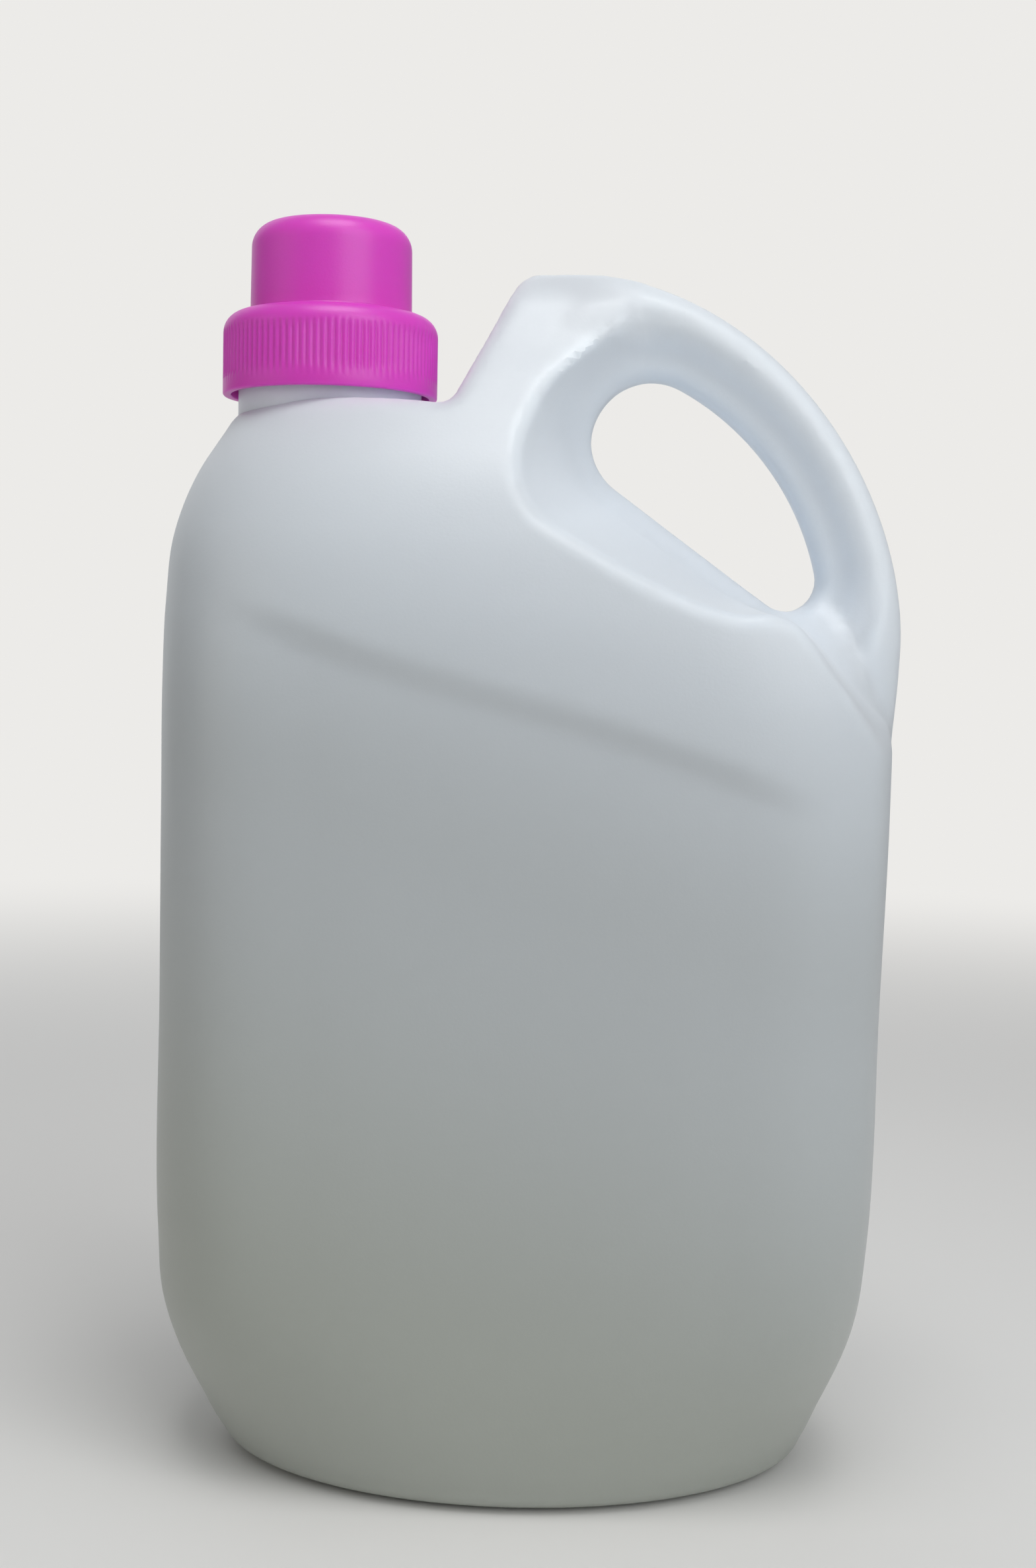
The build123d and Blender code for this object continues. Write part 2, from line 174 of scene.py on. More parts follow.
@dataclass
class JugForm:
    """The outside of the bottle without its neck, as a distance that is negative inside.

    Lengths are in millimetres. Every table is in shares of the handle's top height, and
    across in shares of the reach to that side.
    """

    left_reach: float = 93.8
    right_reach: float = 93.8
    half_depth: float = 57.5
    least_depth: float = 0.02
    shoulder_height: float = 264.3
    handle_top: float = 298.7
    handle_right: float = 94.2
    handle_side: float = 93.5
    crown_top: float = 298.0
    handle_side_height: float = 208.0
    handle_half_depth: float = 14.5
    handle_edge: float = 11.0
    pillar_thinning: tuple[float, float, float] = (24.0, 24.0, 5.0)
    crest_radius: float = 5.0
    rim_half_depth: float = 7.0
    rim_radius: float = 5.0
    rim_rise: tuple[float, float] = (4.0, 11.0)
    handle_crown_x: float = 12.0
    handle_bend_power: float = 1.86
    handle_tail: float = 32.0
    handle_tail_run: float = 2.4
    handle_tail_power: float = 1.5
    handle_tail_turn: tuple[float, float] = (182.0, 14.0)
    handle_tail_sink: float = 8.0
    pillar_foot_x: float = -18.0
    pillar_top_x: float = -2.6
    pillar_corner: float = 10.0
    hole_upper: tuple[float, float, float] = (30.0, 257.0, 15.2)
    hole_lower: tuple[float, float, float] = (64.3, 223.0, 7.9)
    hole_bulge_radius: float = 69.0
    recess_depth: float = 60.0
    recess_corner: float = 11.0
    recess_lean: float = 0.82
    crease_radius: float = 2.4
    root_radius: float = 12.0
    root_least: float = 2.0
    root_reach: float = 16.0
    root_fade: float = 1.5
    root_margin: tuple[float, float] = (3.0, 14.0)
    shoulder_edge: float = 4.0
    shoulder_dome: tuple[float, float] = (33.0, 2.0)
    valley_radius: float = 3.0
    panel_depth: float = 2.3
    panel_reach: float = 76.0
    panel_fade: float = 30.0
    panel_foot: tuple[float, float] = (8.0, 42.0)
    step_height: float = 9.0
    foot_edge: float = 2.5
    base_rise: float = 4.0
    base_run: float = 12.0
    foot_width: float = 13.0
    sections: tuple[SmoothTable, ...] = field(init=False)
    wall_middle: SmoothTable = field(init=False)
    wall_front: SmoothTable = field(init=False)
    ramp_middle: SmoothTable = field(init=False)
    ramp_front: SmoothTable = field(init=False)
    step_line: SmoothTable = field(init=False)

    # height, left, right, depth, power across, power through
    SECTIONS = (
        (0.000, 0.728, 0.728, 0.812, 2.0, 2.0),
        (0.007, 0.776, 0.766, 0.864, 2.0, 2.0),
        (0.022, 0.816, 0.797, 0.895, 2.1, 2.0),
        (0.050, 0.866, 0.838, 0.930, 2.3, 2.0),
        (0.094, 0.928, 0.896, 0.966, 2.9, 2.1),
        (0.140, 0.965, 0.937, 0.990, 3.8, 2.2),
        (0.192, 0.974, 0.959, 1.000, 4.6, 2.2),
        (0.400, 0.975, 0.984, 1.000, 5.0, 2.2),
        (0.560, 0.974, 1.003, 1.000, 5.4, 2.2),
        (0.655, 0.974, 1.003, 1.000, 5.2, 2.2),
        (0.720, 0.971, 0.992, 0.976, 4.2, 2.2),
        (0.777, 0.954, 0.959, 0.915, 3.4, 2.2),
        (0.828, 0.896, 0.898, 0.800, 2.9, 2.1),
        (0.866, 0.821, 0.826, 0.660, 2.6, 2.1),
        (0.900, 0.757, 0.755, 0.520, 2.4, 2.0),
        (0.940, 0.580, 0.653, 0.350, 2.3, 2.0),
        (0.985, 0.330, 0.551, 0.205, 2.2, 2.0),
    )
    WALL_MIDDLE = ((0.700, 0.144), (0.850, 0.144), (0.898, 0.173), (0.962, 0.285), (1.010, 0.336))
    WALL_FRONT = (
        (0.700, -0.084), (0.840, -0.084), (0.898, -0.067), (0.962, 0.142), (1.010, 0.255),
    )
    RAMP_MIDDLE = (
        (0.000, 0.871), (0.234, 0.8145), (0.626, 0.720), (0.786, 0.702), (0.903, 0.666),
        (1.061, 0.600),
    )
    RAMP_FRONT = (
        (-0.200, 0.807), (0.030, 0.772), (0.510, 0.710), (0.668, 0.705), (0.796, 0.645),
        (0.980, 0.540),
    )
    STEP_LINE = ((-0.750, 0.700), (-0.300, 0.652), (0.184, 0.610), (0.750, 0.550))

    def __post_init__(self) -> None:
        """Makes the smooth tables from the rows above."""
        height, *columns = zip(*self.SECTIONS)
        self.sections = tuple(SmoothTable(height, column) for column in columns)
        self.wall_middle = SmoothTable(*zip(*self.WALL_MIDDLE))
        self.wall_front = SmoothTable(*zip(*self.WALL_FRONT))
        self.ramp_middle = SmoothTable(*zip(*self.RAMP_MIDDLE))
        self.ramp_front = SmoothTable(*zip(*self.RAMP_FRONT))
        self.step_line = SmoothTable(*zip(*self.STEP_LINE))

    def body(self, x: FloatArray, y: FloatArray, z: FloatArray) -> FloatArray:
        """Distance to the plain body.

        Each level is a squared oval: the share across to one power and the share through to
        another add up to one. What is left over, divided by its slope, is the distance.

        Args:
            x: Places across, towards the handle.
            y: Places through, towards the back.
            z: Heights.

        Returns:
            Distances, negative in the body.
        """
        level = z / self.handle_top
        left, right, depth, power, turn = (table.read(level) for table in self.sections)
        left = self.left_reach * left
        right = self.right_reach * right
        depth = self.half_depth * np.maximum(depth, self.least_depth)
        reach = (left + right) / 2.0
        across = np.abs(x - (right - left) / 2.0) / reach
        through = np.abs(y) / depth
        left_over = across**power + through**turn - 1.0
        slope = np.hypot(
            power * across ** (power - 1.0) / reach, turn * through ** (turn - 1.0) / depth
        )
        return left_over / np.maximum(slope, 1.0 / self.left_reach)

    def recess(self, x: FloatArray, y: FloatArray, z: FloatArray) -> FloatArray:
        """Distance to the space that the finger recess takes away.

        Its left wall and its ramp each run straight from a line on the middle plane to a
        line in front of the body, and the corner between them is rounded.

        Args:
            x: Places across, towards the handle.
            y: Places through, towards the back.
            z: Heights.

        Returns:
            Distances, negative in that space.
        """
        share = np.abs(y) / self.recess_depth
        level = z / self.handle_top
        along = x / self.handle_right
        wall = (1.0 - share) * self.wall_middle.read(level) + share * self.wall_front.read(level)
        ramp = (1.0 - share) * self.ramp_middle.read(along) + share * self.ramp_front.read(along)
        beside = self.handle_right * wall - x
        above = (self.handle_top * ramp - z) * self.recess_lean
        return round_max(beside, above, self.recess_corner)

    def slope_side(self, x: FloatArray, z: FloatArray) -> FloatArray:
        """Distance from the straight line of the pillar's sloped face.

        Args:
            x: Places across, towards the handle.
            z: Heights.

        Returns:
            Distances, positive towards the neck.
        """
        run = self.pillar_top_x - self.pillar_foot_x
        rise = self.handle_top - self.shoulder_height
        length = np.hypot(run, rise)
        return ((z - self.shoulder_height) * run - (x - self.pillar_foot_x) * rise) / length

    def hole(self, x: FloatArray, z: FloatArray) -> FloatArray:
        """Distance to the finger hole's outline.

        Two end arcs are joined by a straight lower side and by one long arc. A point takes
        its distance from the arc or side that it faces.

        Args:
            x: Places across, towards the handle.
            z: Heights.

        Returns:
            Distances, negative in the hole.
        """
        upper_x, upper_z, upper_radius = self.hole_upper
        lower_x, lower_z, lower_radius = self.hole_lower
        run = np.hypot(lower_x - upper_x, lower_z - upper_z)
        heading = np.arctan2(lower_z - upper_z, lower_x - upper_x)
        straight = heading - np.arccos((upper_radius - lower_radius) / run)
        to_upper = self.hole_bulge_radius - upper_radius
        to_lower = self.hole_bulge_radius - lower_radius
        swing = np.arccos((run**2 + to_upper**2 - to_lower**2) / (2.0 * run * to_upper))
        bulge_x = upper_x + to_upper * np.cos(heading - swing)
        bulge_z = upper_z + to_upper * np.sin(heading - swing)
        upper_side = np.arctan2(upper_z - bulge_z, upper_x - bulge_x)
        lower_side = np.arctan2(lower_z - bulge_z, lower_x - bulge_x)
        full = 2.0 * np.pi

        def faces(at_x: float, at_z: float, start: float, end: float) -> npt.NDArray[np.bool_]:
            """Whether places lie between two directions, going round a centre."""
            turned = np.mod(np.arctan2(z - at_z, x - at_x) - start, full)
            return turned <= np.mod(end - start, full)

        at_upper = np.hypot(x - upper_x, z - upper_z) - upper_radius
        at_lower = np.hypot(x - lower_x, z - lower_z) - lower_radius
        at_bulge = np.hypot(x - bulge_x, z - bulge_z) - self.hole_bulge_radius
        at_side = (x - upper_x) * np.cos(straight) + (z - upper_z) * np.sin(straight)
        sides = np.maximum(at_bulge, at_side - upper_radius)
        ends = np.where(faces(lower_x, lower_z, straight, lower_side), at_lower, sides)
        return np.where(faces(upper_x, upper_z, upper_side, straight), at_upper, ends)

    def crown(self, x: FloatArray, z: FloatArray) -> FloatArray:
        """Distance above the handle's outer bend.

        It is a quarter of a squared oval from the crown to the side, where the shares across
        and up, to one power, add up to one.

        Args:
            x: Places across, towards the handle.
            z: Heights.

        Returns:
            Distances, negative below the bend.
        """
        width = self.handle_side - self.handle_crown_x
        height = self.crown_top - self.handle_side_height
        power = self.handle_bend_power
        across = np.maximum((x - self.handle_crown_x) / width, 0.0)
        up = np.maximum((z - self.handle_side_height) / height, 0.0)
        slope = power * np.hypot(across ** (power - 1.0) / width, up ** (power - 1.0) / height)
        return (across**power + up**power - 1.0) / np.maximum(slope, 1.0 / self.left_reach)

    def outline(self, x: FloatArray, z: FloatArray) -> FloatArray:
        """Distance outside the handle's outline.

        The outline is the bend, the side below it and the pillar's slope. The side draws in
        by a power of the drop below the bend, and at its foot by a smooth step.

        Args:
            x: Places across, towards the handle.
            z: Heights.

        Returns:
            Distances, negative inside the outline.
        """
        below = np.clip((self.handle_side_height - z) / self.handle_tail, 0.0, 1.0)
        turn, height = self.handle_tail_turn
        sink = self.handle_tail_sink * smooth_step((turn - z) / height)
        run = self.handle_tail_run * below**self.handle_tail_power
        flank = x - self.handle_side + run + sink
        bent = np.maximum(self.crown(x, z), flank)
        return round_max(bent, self.slope_side(x, z), self.pillar_corner)

    def handle(self, x: FloatArray, y: FloatArray, z: FloatArray) -> FloatArray:
        """Distance to the handle and the web round the hole.

        The section has a crest near its outer edge. From there it thins in a smooth step
        towards the hole, and then runs level to it. Towards the pillar it sinks into the body.

        Args:
            x: Places across, towards the handle.
            y: Places through, towards the back.
            z: Heights.

        Returns:
            Distances, negative in the handle.
        """
        start, width, depth = self.pillar_thinning
        half = self.handle_half_depth - depth * smooth_step((start - x) / width)
        outer = round_max(self.outline(x, z), np.abs(y) - half, self.handle_edge)
        rim = self.hole(x, z)
        start, width = self.rim_rise
        rise = self.handle_half_depth - self.rim_half_depth
        thin = np.abs(y) - self.rim_half_depth - rise * smooth_step((rim - start) / width)
        thin -= np.maximum(rim - start - width, 0.0)
        aside = np.clip(np.abs((rim - start) / width - 0.5), 0.0, 0.5)
        steep = STEP_SLOPE * rise / width * (1.0 - aside)
        tail = self.handle_side_height - self.handle_tail - z
        inner = thin / np.hypot(1.0, steep)
        return np.maximum(round_max(outer, inner, self.crest_radius), tail)

    def panels(self, x: FloatArray, z: FloatArray) -> FloatArray:
        """How far the label panels lie inside the plain body.

        They end upwards in a soft slanted step, and fade out towards the sides and the foot.

        Args:
            x: Places across, towards the handle.
            z: Heights.

        Returns:
            Depths, zero where there is no panel.
        """
        foot, run = self.panel_foot
        line = self.handle_top * self.step_line.read(x / self.handle_right)
        below = 1.0 - smooth_step((z - line) / self.step_height)
        beside = smooth_step((self.panel_reach - np.abs(x)) / self.panel_fade)
        return self.panel_depth * below * beside * smooth_step((z - foot) / run)

    def base(self, x: FloatArray, y: FloatArray, z: FloatArray) -> FloatArray:
        """Distance below the base, whose middle rises in a smooth step inside an oval foot.

        Args:
            x: Places across, towards the handle.
            y: Places through, towards the back.
            z: Heights.

        Returns:
            Distances, positive below the base.
        """
        shares = self.SECTIONS[0]
        reach = (shares[1] * self.left_reach + shares[2] * self.right_reach) / 2.0
        middle = (shares[2] * self.right_reach - shares[1] * self.left_reach) / 2.0
        depth = shares[3] * self.half_depth
        ring = 1.0 - np.hypot((x - middle) / reach, y / depth)
        inward = ring * depth - self.foot_width
        return self.base_rise * smooth_step(inward / self.base_run) - z

    def distance(self, x: FloatArray, y: FloatArray, z: FloatArray) -> FloatArray:
        """Distance to the whole form, worked out in the order in which the jug is shaped.

        The fillet between the body and the handle is full beside the recess, and fades
        away from it and towards the handle's outline. Nothing reaches past both the plain
        body and the handle's outline. The finger hole goes through what is left.

        Args:
            x: Places across, towards the handle.
            y: Places through, towards the back.
            z: Heights.

        Returns:
            Distances, negative inside the jug.
        """
        plain = self.body(x, y, z)
        recess = self.recess(x, y, z)
        outline = self.outline(x, z)
        margin, width = self.root_margin
        near = smooth_step(self.root_fade - np.abs(recess) / self.root_reach)
        near *= smooth_step((-outline - margin) / width)
        root = self.root_least + (self.root_radius - self.root_least) * near
        topped = round_max(plain, self.crown(x, z), self.handle_edge)
        cut = round_max(topped, -recess, self.crease_radius)
        whole = round_min(cut, self.handle(x, y, z), root)
        whole = np.maximum(whole, np.minimum(topped, outline))
        whole = round_max(whole, -self.hole(x, z), self.rim_radius)
        reach, drop = self.shoulder_dome
        level = self.shoulder_height - drop * np.minimum((x - NECK_X) / reach, 1.0) ** 2
        keep = round_min(z - level, self.slope_side(x, z), self.valley_radius)
        whole = round_max(whole, keep, self.shoulder_edge)
        inset = self.panels(x, z)
        whole = np.where(inset > 0.0, np.maximum(whole, plain + inset), whole)
        return round_max(whole, self.base(x, y, z), self.foot_edge)


def gradient(form: Form, points: FloatArray, step: float = 0.2) -> FloatArray:
    """Slope of a form at some points, from its rise over a short step along each axis.

    Args:
        form: Distance to the form.
        points: One row for each point.
        step: How far ahead and behind the form is read.

    Returns:
        One row of slopes for each point.
    """
    slopes = np.empty_like(points)
    for axis in range(3):
        ahead = points.copy()
        behind = points.copy()
        ahead[:, axis] += step
        behind[:, axis] -= step
        slopes[:, axis] = (form(*ahead.T) - form(*behind.T)) / (2.0 * step)
    return slopes


def pull_to_surface(form: Form, points: FloatArray, rounds: int, limit: float) -> FloatArray:
    """Moves points onto a form's surface.

    Each round steps down the slope by the distance over the slope squared, and no further
    than the limit.

    Args:
        form: Distance that is zero on the surface.
        points: Points near the surface.
        rounds: How many steps each point takes.
        limit: Longest step.

    Returns:
        The moved points.
    """
    for _ in range(rounds):
        slopes = gradient(form, points)
        size = np.maximum((slopes**2).sum(axis=1), TINY)
        move = slopes * (form(*points.T) / size)[:, None]
        length = np.linalg.norm(move, axis=1, keepdims=True)
        points = points - move * np.minimum(1.0, limit / np.maximum(length, TINY))
    return points


def surface_net(
    form: Form, low: FloatArray, high: FloatArray, pitch: float
) -> tuple[FloatArray, IntArray]:
    """Nets a form's surface with four-sided faces.

    Space is cut into cubes. Each cube that the surface crosses holds one point, the mean of
    where it crosses the cube's edges, and each crossed edge joins the points of its four
    cubes in one face. The points are then evened out and pulled onto the surface.

    Args:
        form: Distance that is negative inside the form.
        low: Lowest corner of the space.
        high: Highest corner of the space.
        pitch: Width of a cube.

    Returns:
        The points and the faces, which point outwards.
    """
    lines = [np.arange(low[axis], high[axis] + pitch, pitch) for axis in range(3)]
    value = np.concatenate(
        [form(*np.meshgrid(at, lines[1], lines[2], indexing="ij")) for at in lines[0][:, None]]
    )
    inside = value < 0.0
    shape = np.array(value.shape)
    corners = [(i, j, k) for i in (0, 1) for j in (0, 1) for k in (0, 1)]

    def shifted(block: npt.NDArray, corner: tuple[int, int, int]) -> npt.NDArray:
        """Reads a block at one corner of every cube."""
        i, j, k = corner
        return block[i : shape[0] - 1 + i, j : shape[1] - 1 + j, k : shape[2] - 1 + k]

    count = sum(shifted(inside, corner).astype(np.int8) for corner in corners)
    crossed = (count > 0) & (count < 8)
    cells = np.argwhere(crossed)
    number = np.full(crossed.shape, -1, dtype=np.int64)
    number[tuple(cells.T)] = np.arange(len(cells))
    total = np.zeros((len(cells), 3))
    hits = np.zeros(len(cells))
    for start in corners:
        for axis in range(3):
            if start[axis]:
                continue
            end = tuple(start[a] + (a == axis) for a in range(3))
            at_start = shifted(value, start)[crossed]
            at_end = shifted(value, end)[crossed]
            hit = (at_start < 0.0) != (at_end < 0.0)
            share = np.where(hit, at_start / np.where(hit, at_start - at_end, 1.0), 0.0)
            place = np.array(start, dtype=float)[None, :] + np.zeros((len(cells), 3))
            place[:, axis] += share
            total += place * hit[:, None]
            hits += hit
    points = np.array(low) + (cells + total / hits[:, None]) * pitch
    faces = []
    for axis in range(3):
        side, other = (axis + 1) % 3, (axis + 2) % 3
        ahead = np.moveaxis(inside, (axis, side, other), (0, 1, 2))
        lookup = np.moveaxis(number, (axis, side, other), (0, 1, 2))
        leaves = ahead[:-1, 1:-1, 1:-1] & ~ahead[1:, 1:-1, 1:-1]
        enters = ~ahead[:-1, 1:-1, 1:-1] & ahead[1:, 1:-1, 1:-1]
        for mask, order in ((leaves, (0, 1, 2, 3)), (enters, (3, 2, 1, 0))):
            at, across, through = np.argwhere(mask).T
            ring = (
                lookup[at, across, through],
                lookup[at, across + 1, through],
                lookup[at, across + 1, through + 1],
                lookup[at, across, through + 1],
            )
            faces.append(np.stack([ring[i] for i in order], axis=1))
    quads = np.concatenate(faces)
    points = pull_to_surface(form, points, FIRST_PULLS, pitch)
    for _ in range(EVENING_ROUNDS):
        points = pull_to_surface(form, evened(points, quads), LATER_PULLS, pitch)
    return points, quads


def evened(points: FloatArray, quads: IntArray) -> FloatArray:
    """Moves each point halfway to the mean of the points it shares an edge with.

    Args:
        points: One row for each point.
        quads: The four-sided faces that join them.

    Returns:
        The moved points.
    """
    total = np.zeros_like(points)
    shares = np.zeros(len(points))
    for turn in range(4):
        here, there = quads[:, turn], quads[:, (turn + 1) % 4]
        for axis in range(3):
            total[:, axis] += np.bincount(here, points[there, axis], len(points))
            total[:, axis] += np.bincount(there, points[here, axis], len(points))
        shares += np.bincount(here, minlength=len(points))
        shares += np.bincount(there, minlength=len(points))
    return (points + total / np.maximum(shares, 1.0)[:, None]) / 2.0


def make_piece(
    name: str, points: FloatArray, faces: IntArray | list[IntArray]
) -> bpy.types.Object:
    """Makes a smooth mesh object from millimetre points.

    Args:
        name: Name of the piece.
        points: One row for each point.
        faces: One array of faces, or several arrays of faces with different corner counts.

    Returns:
        The new object, at the origin.
    """
    groups = faces if isinstance(faces, list) else [faces]
    corners = np.concatenate([group.ravel() for group in groups])
    sizes = np.concatenate([np.full(len(group), group.shape[1]) for group in groups])
    starts = np.concatenate(([0], np.cumsum(sizes)[:-1]))
    mesh = bpy.data.meshes.new(name)
    mesh.vertices.add(len(points))
    mesh.vertices.foreach_set("co", (points * MM).astype(np.float32).ravel())
    mesh.loops.add(len(corners))
    mesh.loops.foreach_set("vertex_index", corners.astype(np.int32))
    mesh.polygons.add(len(sizes))
    mesh.polygons.foreach_set("loop_start", starts.astype(np.int32))
    mesh.polygons.foreach_set("use_smooth", np.ones(len(sizes), dtype=bool))
    mesh.update(calc_edges=True)
    mesh.validate()
    piece = bpy.data.objects.new(name, mesh)
    bpy.context.scene.collection.objects.link(piece)
    return piece


def combine(piece: bpy.types.Object, other: bpy.types.Object, cut: Cut) -> None:
    """Joins another closed solid to a piece or removes it, and then drops the other one.

    Args:
        piece: The piece that is changed.
        other: The solid that acts on it.
        cut: Whether the solid is joined or removed.
    """
    step = piece.modifiers.new("combine", "BOOLEAN")
    step.operation = cut.value
    step.solver = "MANIFOLD"
    step.object = other
    graph = bpy.context.evaluated_depsgraph_get()
    made = bpy.data.meshes.new_from_object(piece.evaluated_get(graph))
    piece.modifiers.clear()
    old, piece.data = piece.data, made
    bpy.data.meshes.remove(old)
    bpy.data.objects.remove(other)


def grid_faces(rows: int, columns: int, wraps: bool) -> IntArray:
    """Joins the points of a grid, counted row by row, to four-sided faces.

    Args:
        rows: How many rows the grid has.
        columns: How many points a row has.
        wraps: Whether the last column joins the first.

    Returns:
        One row of four point numbers for each face.
    """
    row = np.arange(rows - 1)[:, None] * columns
    column = np.arange(columns if wraps else columns - 1)[None, :]
    beside = (column + 1) % columns
    below = row + columns
    ring = np.broadcast_arrays(row + column, below + column, below + beside, row + beside)
    return np.stack(ring, axis=-1).reshape(-1, 4)


def ring_grid(profile: FloatArray, turns: int) -> tuple[FloatArray, list[IntArray]]:
    """Turns a profile about the upright axis.

    A grid point has the profile's radius times the cosine and sine of its turn, and the
    profile's height. The profile starts and ends on the axis, where one point closes each
    pole.

    Args:
        profile: Rows of radius and height, in order so that the outside is on the right.
        turns: How many points go round.

    Returns:
        The points about an axis at zero, and the faces.
    """
    angle = np.linspace(0.0, 2.0 * np.pi, turns, endpoint=False)
    body = profile[1:-1]
    radius, height = body[:, 0][:, None], body[:, 1][:, None]
    grid = np.stack(
        (radius * np.cos(angle), radius * np.sin(angle), height + 0.0 * angle), axis=-1
    ).reshape(-1, 3)
    first = len(grid)
    poles = np.array([[0.0, 0.0, profile[0, 1]], [0.0, 0.0, profile[-1, 1]]])
    around = np.arange(turns)
    beside = (around + 1) % turns
    end = first - turns
    fans = np.concatenate(
        (
            np.stack((np.full(turns, first), around, beside), axis=1),
            np.stack((np.full(turns, first + 1), end + beside, end + around), axis=1),
        )
    )
    return np.concatenate((grid, poles)), [grid_faces(len(body), turns, wraps=True), fans]


def rounded_line(corners: list[tuple[float, float, float]], longest: float) -> FloatArray:
    """Profile through corners, each rounded by an arc that touches both its sides.

    Args:
        corners: Rows of radius, height and rounding radius.
        longest: Length past which a straight side gets more points.

    Returns:
        Rows of radius and height, with an even fan of points on every arc.
    """
    rows = []
    places = np.array(corners)
    for index, (x, z, radius) in enumerate(corners):
        here = np.array([x, z])
        if radius <= 0.0:
            rows.append(here[None, :])
            continue
        before = places[index - 1, :2] - here
        after = places[index + 1, :2] - here
        before /= np.linalg.norm(before)
        after /= np.linalg.norm(after)
        half = np.arccos(np.clip(before @ after, -1.0, 1.0)) / 2.0
        middle = (before + after) / np.linalg.norm(before + after)
        centre = here + middle * radius / np.sin(half)
        start = here + before * radius / np.tan(half) - centre
        end = here + after * radius / np.tan(half) - centre
        first = np.arctan2(start[1], start[0])
        sweep = (np.arctan2(end[1], end[0]) - first + np.pi) % (2.0 * np.pi) - np.pi
        steps = max(3, int(np.ceil(abs(sweep) * max(radius, 1.0) / ARC_STEP)))
        angle = first + sweep * np.linspace(0.0, 1.0, steps + 1)
        rows.append(centre + radius * np.stack((np.cos(angle), np.sin(angle)), axis=1))
    line = np.concatenate(rows)
    parted = []
    for start, end in zip(line, line[1:]):
        parts = max(1, int(np.ceil(np.linalg.norm(end - start) / longest)))
        parted.append(start + (end - start) * (np.arange(parts)[:, None] / parts))
    return np.concatenate((*parted, line[-1:]))


def add_node(
    tree: bpy.types.NodeTree, kind: str, inputs: dict[str | int, object], **options: object
) -> bpy.types.Node:
    """Adds a shader node, sets its options and feeds its inputs.

    Args:
        tree: The tree that gets the node.
        kind: The node's type without its common start.
        inputs: An output socket or a plain value for each input, by its name or number.
        options: Values for the node's own options.

    Returns:
        The new node.
    """
    node = tree.nodes.new("ShaderNode" + kind)
    for name, value in options.items():
        setattr(node, name, value)
    for name, value in inputs.items():
        if isinstance(value, bpy.types.NodeSocket):
            tree.links.new(value, node.inputs[name])
        else:
            node.inputs[name].default_value = value
    return node


@dataclass(frozen=True)
class MouldedSurface:
    """The fine grain and faint handling marks of moulded plastic, as a shared node group.

    Height is a fine even noise, plus waves as wide as a fingertip, less thin long scratches
    that a stretched noise leaves where it passes a high value, plus the parting line of the
    two mould halves along the middle plane. Marks is a broad noise.
    """

    grain_scale: float = 900.0
    grain_detail: float = 2.0
    wave_scale: float = 60.0
    wave_detail: float = 1.0
    wave_share: float = 0.6
    scratch_share: float = 0.15
    scratch_turn: tuple[float, float, float] = (0.3, 0.5, 0.9)
    scratch_stretch: tuple[float, float, float] = (14.0, 420.0, 420.0)
    scratch_start: float = 0.70
    scratch_full: float = 0.80
    seam_half_width: float = 0.0006
    mark_scale: float = 22.0
    mark_detail: float = 5.0

    def make(self) -> bpy.types.NodeTree:
        """Makes the node group.

        Returns:
            The node group, with outputs Height and Marks.
        """
        group = bpy.data.node_groups.new("moulded surface", "ShaderNodeTree")
        sockets = group.interface
        sockets.new_socket("Place", in_out="INPUT", socket_type="NodeSocketVector")
        for label, value in (
            ("Grain Scale", self.grain_scale), ("Wave Scale", self.wave_scale),
            ("Wave Share", self.wave_share), ("Scratch Share", self.scratch_share),
            ("Seam Share", 0.0),
        ):
            socket = sockets.new_socket(label, in_out="INPUT", socket_type="NodeSocketFloat")
            socket.default_value = value
        for label in ("Height", "Marks"):
            sockets.new_socket(label, in_out="OUTPUT", socket_type="NodeSocketFloat")
        given = group.nodes.new("NodeGroupInput").outputs
        result = group.nodes.new("NodeGroupOutput").inputs
        place = given["Place"]

        def noise(vector: bpy.types.NodeSocket, scale: object, detail: float) -> bpy.types.Node:
            """Adds a noise at a place."""
            inputs = {"Vector": vector, "Scale": scale, "Detail": detail}
            return add_node(group, "TexNoise", inputs)

        def sum_up(operation: str, *terms: bpy.types.NodeSocket) -> bpy.types.NodeSocket:
            """Works out one number from others."""
            made = add_node(group, "Math", dict(enumerate(terms)), operation=operation)
            return made.outputs["Value"]

        grain = noise(place, given["Grain Scale"], self.grain_detail).outputs["Fac"]
        wave = noise(place, given["Wave Scale"], self.wave_detail).outputs["Fac"]
        stretch = add_node(
            group, "Mapping",
            {"Vector": place, "Rotation": self.scratch_turn, "Scale": self.scratch_stretch},
        )
        streak = noise(stretch.outputs["Vector"], 1.0, 0.0).outputs["Fac"]
        scratch = add_node(
            group, "MapRange",
            {"Value": streak, "From Min": self.scratch_start, "From Max": self.scratch_full},
        ).outputs["Result"]
        split = add_node(group, "SeparateXYZ", {"Vector": place})
        ridge = add_node(
            group, "MapRange",
            {
                "Value": sum_up("ABSOLUTE", split.outputs["Y"]),
                "From Min": self.seam_half_width, "From Max": 0.0,
            },
            interpolation_type="SMOOTHSTEP",
        ).outputs["Result"]
        raised = sum_up("MULTIPLY_ADD", wave, given["Wave Share"], grain)
        cut = sum_up("SUBTRACT", raised, sum_up("MULTIPLY", scratch, given["Scratch Share"]))
        parted = sum_up("MULTIPLY_ADD", ridge, given["Seam Share"], cut)
        group.links.new(parted, result["Height"])
        marks = noise(place, self.mark_scale, self.mark_detail)
        group.links.new(marks.outputs["Fac"], result["Marks"])
        return group


